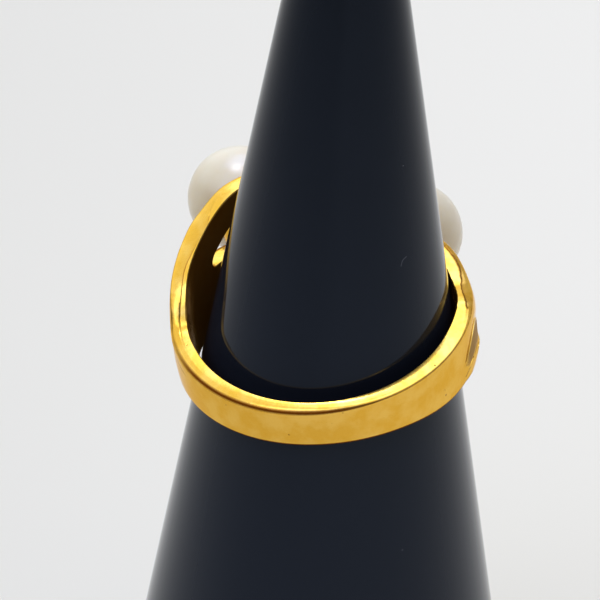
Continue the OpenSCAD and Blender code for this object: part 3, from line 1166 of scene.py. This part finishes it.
# Floor, world and lights
studio = {
    "floor": (0.645, 0.574, 0.432),
    "floorShaded": (0.545, 0.486, 0.364),
    "floorShadedAt": (-0.10, 0.05),  # painted shade: m to the right, where the floor is darker and where it is bright
    "floorSize": 30.0,  # m
    "front": 0.0,  # the dark room in front of the table
    "back": 0.68,  # the pale walls round it, seen from the table's height
    "backAt": (-0.15, 0.35),  # where they start and are full, as shares of a direction, like the next three
    "right": 0.48,  # the tent's right side, down to the table
    "rightAt": (0.35, 0.75),
    "rightLowAt": (0.50, 0.85),
    "dome": 0.63,  # what the tent's left side and top add to the walls
    "domeEnds": (-0.10, 0.35),
    "domeHeights": (0.16, 0.42),  # sines of the heights where the tent starts and is full
    "domeTilt": 0.25,  # how much lower they are at the back
    "door": (-0.08, -0.90, 0.43),  # where the tent is open, towards the camera
    "doorFull": 27,  # degrees
    "doorEnd": 38,
    "dusk": (0.07, 0.03, 0.025),  # the light that is left in it and low down
    "tint": (0.88, 1.0, 1.12),
    "boxTint": (0.84, 1.07, 1.95),
}
# Soft boxes above the tent: direction, half width where they are full and where they end, strength
softBoxes = [
    ((0.10, 0.34, 0.93), 20, 37, 1.60),
    ((-0.42, -0.57, 0.71), 15, 23, 1.30),
]
# A small lamp for the spot of light on each pearl: place and target in m, size in m, watts
keyLamp = {"place": (-0.09, 0.13, 0.62), "target": (0, 0.01, 0.045), "size": 0.16, "watts": 0.60}


def lobeToward(tree, where, direction, full, end, low, high):
    toward = vectorOf(tree, "DOT_PRODUCT", where, Vector(direction).normalized(), "Value")
    return mapRange(tree, toward, math.cos(math.radians(end)), math.cos(math.radians(full)), low, high)


def makeWorld():
    world = bpy.data.worlds.new("studio")
    world.use_nodes = True
    tree = world.node_tree
    where = addNode(tree, "ShaderNodeTexCoord").outputs["Generated"]
    parts = addNode(tree, "ShaderNodeSeparateXYZ", None, {0: where})
    x, y, z = (parts.outputs[axis] for axis in "XYZ")
    behind = mapRange(tree, y, *studio["backAt"], studio["front"], studio["back"])
    height = mathOf(tree, "MULTIPLY_ADD", y, studio["domeTilt"], z)
    rise = mapRange(tree, height, *studio["domeHeights"], 0, 1)
    wall = mapRange(tree, x, *studio["rightAt"], studio["back"], studio["right"])
    wall = mathOf(tree, "MULTIPLY", rise, wall)
    dome = mapRange(tree, x, *studio["domeEnds"], studio["dome"], 0)
    dome = mathOf(tree, "MULTIPLY", rise, dome)
    low = mapRange(tree, x, *studio["rightLowAt"], 0, studio["right"])
    sides = mathOf(tree, "MAXIMUM", mathOf(tree, "MAXIMUM", behind, wall), low)
    total = mathOf(tree, "ADD", sides, dome)
    walls = lobeToward(tree, where, studio["door"], studio["doorFull"], studio["doorEnd"], 1, 0)
    total = mathOf(tree, "MULTIPLY", total, walls)
    colour = vectorOf(tree, "ADD", scaled(tree, studio["tint"], total), studio["dusk"])
    for direction, full, end, strength in softBoxes:
        lobe = lobeToward(tree, where, direction, full, end, 0, strength)
        colour = vectorOf(tree, "ADD", colour, scaled(tree, studio["boxTint"], lobe))
    tree.links.new(colour, tree.nodes["Background"].inputs["Color"])
    scene.world = world


def makeStudio():
    half = studio["floorSize"] / 2
    mesh = bpy.data.meshes.new("floor")
    corners = [(-half, -half, 0), (half, -half, 0), (half, half, 0), (-half, half, 0)]
    mesh.from_pydata(corners, [], [(0, 1, 2, 3)])
    floor = bpy.data.objects.new("floor", mesh)
    scene.collection.objects.link(floor)
    material, tree, shader = newMaterial("paleTable")
    leftward = addNode(tree, "ShaderNodeSeparateXYZ", None, {0: objectPlace(tree)}).outputs["X"]
    # painted shade: the floor is darker towards the left
    shade = mapRange(tree, leftward, *studio["floorShadedAt"], 0, 1)
    colour = mixColours(tree, shade, studio["floorShaded"], studio["floor"])
    setInputs(tree, shader, {"Base Color": colour, "Roughness": 1.0, "Specular IOR Level": 0.0})
    floor.data.materials.append(material)
    makeWorld()
    data = bpy.data.lights.new("keyLamp", "AREA")
    data.shape = "DISK"
    data.size = keyLamp["size"]
    data.energy = keyLamp["watts"]
    lamp = bpy.data.objects.new("keyLamp", data)
    lamp.location = keyLamp["place"]
    aim = Vector(keyLamp["target"]) - Vector(keyLamp["place"])
    lamp.rotation_euler = aim.to_track_quat("-Z", "Y").to_euler()
    scene.collection.objects.link(lamp)
    scene.view_settings.view_transform = "Standard"
    scene.view_settings.look = "None"


makeStudio()
print("studio lit")


# Each piece stands for its node and rides on the one body
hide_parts("ring_band")
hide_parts("pearl_left")
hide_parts("pearl_right")
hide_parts("display_cone")
for piece in (ringPiece, *pearlPieces.values(), conePiece):
    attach(piece, "root")
